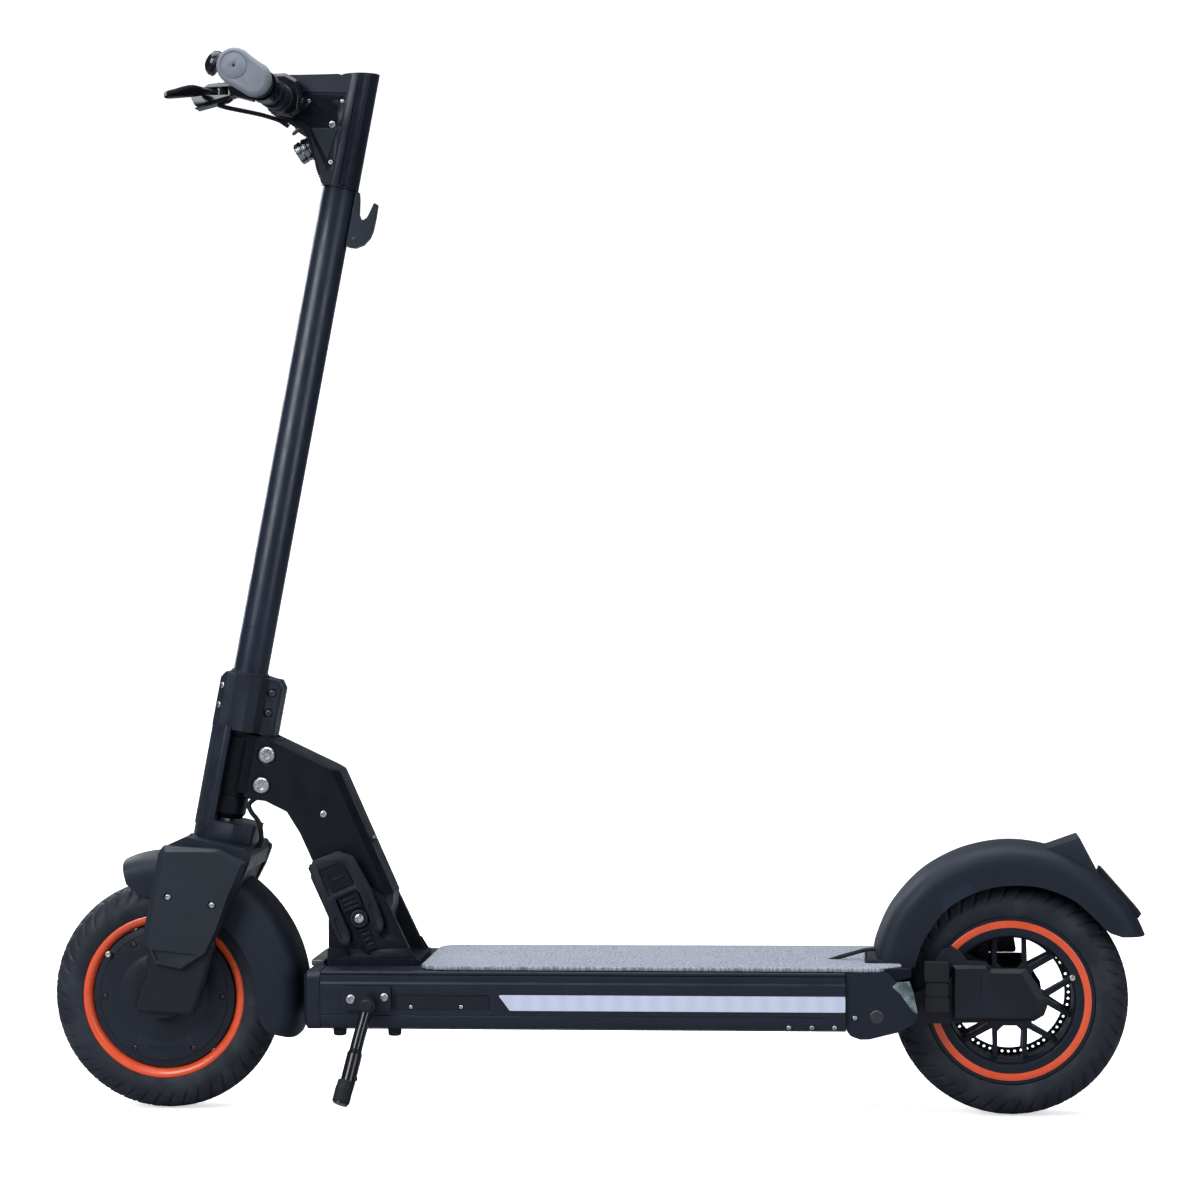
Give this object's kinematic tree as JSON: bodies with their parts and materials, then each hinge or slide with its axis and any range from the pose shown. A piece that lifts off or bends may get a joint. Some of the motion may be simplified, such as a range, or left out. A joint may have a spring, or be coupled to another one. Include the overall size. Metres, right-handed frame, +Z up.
{
  "type": "electric kick scooter",
  "caption": "Folding stand-on electric scooter: hub-motor front wheel, raked stem with handlebar and head block, low deck, sprung rear wheel with disc brake, side kickstand.",
  "frame": {"origin": "bottom centre of the bounding box: on the ground, midway between the front tyre's foremost point and the rear fender's tail", "axes": "+X to the rear, +Y to the scooter's right, +Z up; the front wheel is at -X"},
  "size_m": [1.1939, 0.54, 1.141],
  "materials": {
    "deck_tub": "black coated aluminium",
    "deck_lid": "black coated aluminium",
    "deck_mat": "grey textured mat",
    "deck_front_cap": "black coated aluminium",
    "rear_casting": "black coated aluminium",
    "battery_pack": "shrink wrap",
    "motor_controller": "cast aluminium",
    "side_light_left": "pale light diffuser",
    "side_light_right": "pale light diffuser",
    "side_panel_left": "black moulded plastic",
    "side_panel_right": "black moulded plastic",
    "fold_bracket": "black coated aluminium",
    "fold_axle": "zinc plated steel",
    "kickstand_bracket": "black coated aluminium",
    "rear_fender": "black moulded plastic",
    "tail_light": "red lens",
    "swing_pivot_pin": "zinc plated steel",
    "kickstand_leg": "gloss black",
    "swing_arm": "black coated aluminium",
    "swing_cover_left": "black moulded plastic",
    "swing_cover_right": "black moulded plastic",
    "rear_axle": "zinc plated steel",
    "brake_caliper": "cast aluminium",
    "rubber_buffer_left": "black rubber",
    "rubber_buffer_right": "black rubber",
    "rear_rim": "black coated aluminium",
    "rear_tyre": "black tyre rubber",
    "brake_disc": "zinc plated steel",
    "neck_arm": "black coated aluminium",
    "head_tube": "black coated aluminium",
    "headset_bearing_upper": "zinc plated steel",
    "headset_bearing_lower": "zinc plated steel",
    "neck_bolt_upper": "zinc plated steel",
    "neck_bolt_lower": "zinc plated steel",
    "fold_latch": "black moulded plastic",
    "stem_tube": "black coated aluminium",
    "fork_yoke": "black coated aluminium",
    "steering_spindle": "zinc plated steel",
    "fork": "black coated aluminium",
    "fork_cover_left": "black moulded plastic",
    "fork_cover_right": "black moulded plastic",
    "front_fender": "black moulded plastic",
    "front_axle": "zinc plated steel",
    "stem_head": "black coated aluminium",
    "handlebar": "black coated aluminium",
    "grip_left": "grey soft grip",
    "grip_right": "grey soft grip",
    "headlight": "gloss black",
    "fold_hook": "black coated aluminium",
    "display": "gloss black",
    "bell": "gloss black",
    "brake_perch": "black moulded plastic",
    "throttle_housing": "black moulded plastic",
    "front_hub_motor": "black paint",
    "front_rim": "orange paint",
    "front_tyre": "black tyre rubber",
    "brake_lever": "black coated aluminium",
    "throttle_paddle": "black moulded plastic",
    "power_button": "gloss black",
    "bell_lever": "gloss black"
  },
  "bodies": {
    "deck": {"deck_tub": "deck_tub", "deck_lid": "deck_lid", "deck_mat": "deck_mat", "deck_front_cap": "deck_front_cap", "rear_casting": "rear_casting", "battery_pack": "battery_pack", "motor_controller": "motor_controller", "side_light_left": "side_light_left", "side_light_right": "side_light_right", "side_panel_left": "side_panel_left", "side_panel_right": "side_panel_right", "fold_bracket": "fold_bracket", "fold_axle": "fold_axle", "kickstand_bracket": "kickstand_bracket", "rear_fender": "rear_fender", "tail_light": "tail_light", "swing_pivot_pin": "swing_pivot_pin"},
    "kickstand": {"kickstand_leg": "kickstand_leg"},
    "swing": {"swing_arm": "swing_arm", "swing_cover_left": "swing_cover_left", "swing_cover_right": "swing_cover_right", "rear_axle": "rear_axle", "brake_caliper": "brake_caliper", "rubber_buffer_left": "rubber_buffer_left", "rubber_buffer_right": "rubber_buffer_right"},
    "rear_wheel": {"rear_rim": "rear_rim", "rear_tyre": "rear_tyre", "brake_disc": "brake_disc"},
    "neck": {"neck_arm": "neck_arm", "head_tube": "head_tube", "headset_bearing_upper": "headset_bearing_upper", "headset_bearing_lower": "headset_bearing_lower", "neck_bolt_upper": "neck_bolt_upper", "neck_bolt_lower": "neck_bolt_lower"},
    "latch": {"fold_latch": "fold_latch"},
    "steering": {"stem_tube": "stem_tube", "fork_yoke": "fork_yoke", "steering_spindle": "steering_spindle", "fork": "fork", "fork_cover_left": "fork_cover_left", "fork_cover_right": "fork_cover_right", "front_fender": "front_fender", "front_axle": "front_axle", "stem_head": "stem_head", "handlebar": "handlebar", "grip_left": "grip_left", "grip_right": "grip_right", "headlight": "headlight", "fold_hook": "fold_hook", "display": "display", "bell": "bell", "brake_perch": "brake_perch", "throttle_housing": "throttle_housing"},
    "front_wheel": {"front_hub_motor": "front_hub_motor", "front_rim": "front_rim", "front_tyre": "front_tyre"},
    "brake_lever": {"brake_lever": "brake_lever"},
    "throttle": {"throttle_paddle": "throttle_paddle"},
    "power_button": {"power_button": "power_button"},
    "bell_lever": {"bell_lever": "bell_lever"}
  },
  "joints": [
    {"name": "fold", "type": "hinge", "parent": "deck", "child": "neck", "pos_m": [-0.2471, 0, 0.2161], "axis": [0, 1, 0], "range_deg": [0, 80]},
    {"name": "latch_slide", "type": "slide", "parent": "neck", "child": "latch", "axis": [-0.3859, 0, 0.9225], "range_m": [0, 0.02]},
    {"name": "steering", "type": "hinge", "parent": "neck", "child": "steering", "pos_m": [-0.39418, 0, 0.38236], "axis": [0.197, 0, 0.9804], "range_deg": [-38, 38]},
    {"name": "front_wheel_spin", "type": "hinge", "parent": "steering", "child": "front_wheel", "pos_m": [-0.4704, 0, 0.127], "axis": [0, 1, 0], "continuous": true},
    {"name": "suspension", "type": "hinge", "parent": "deck", "child": "swing", "pos_m": [0.314, 0, 0.118], "axis": [0, -1, 0], "range_deg": [-2, 6], "stiffness_Nm_per_rad": 200, "springref_deg": -1.72},
    {"name": "rear_wheel_spin", "type": "hinge", "parent": "swing", "child": "rear_wheel", "pos_m": [0.4572, 0, 0.127], "axis": [0, 1, 0], "continuous": true},
    {"name": "kickstand_swing", "type": "hinge", "parent": "deck", "child": "kickstand", "pos_m": [-0.2283, -0.101, 0.132], "axis": [0, -1, 0], "range_deg": [0, 95]},
    {"name": "brake_lever_pull", "type": "hinge", "parent": "steering", "child": "brake_lever", "pos_m": [-0.368, -0.131, 1.081], "axis": [0, 0, 1], "range_deg": [0, 18], "stiffness_Nm_per_rad": 2},
    {"name": "throttle_press", "type": "hinge", "parent": "steering", "child": "throttle", "pos_m": [-0.3236, 0.145, 1.1094], "axis": [0, 1, 0], "range_deg": [0, 25], "stiffness_Nm_per_rad": 0.3},
    {"name": "power_button_press", "type": "slide", "parent": "steering", "child": "power_button", "axis": [0, 0, -1], "range_m": [0, 0.0012]},
    {"name": "bell_lever_flick", "type": "hinge", "parent": "steering", "child": "bell_lever", "pos_m": [-0.338, -0.0725, 1.1245], "axis": [0, 1, 0], "range_deg": [0, 20], "stiffness_Nm_per_rad": 0.1}
  ]
}
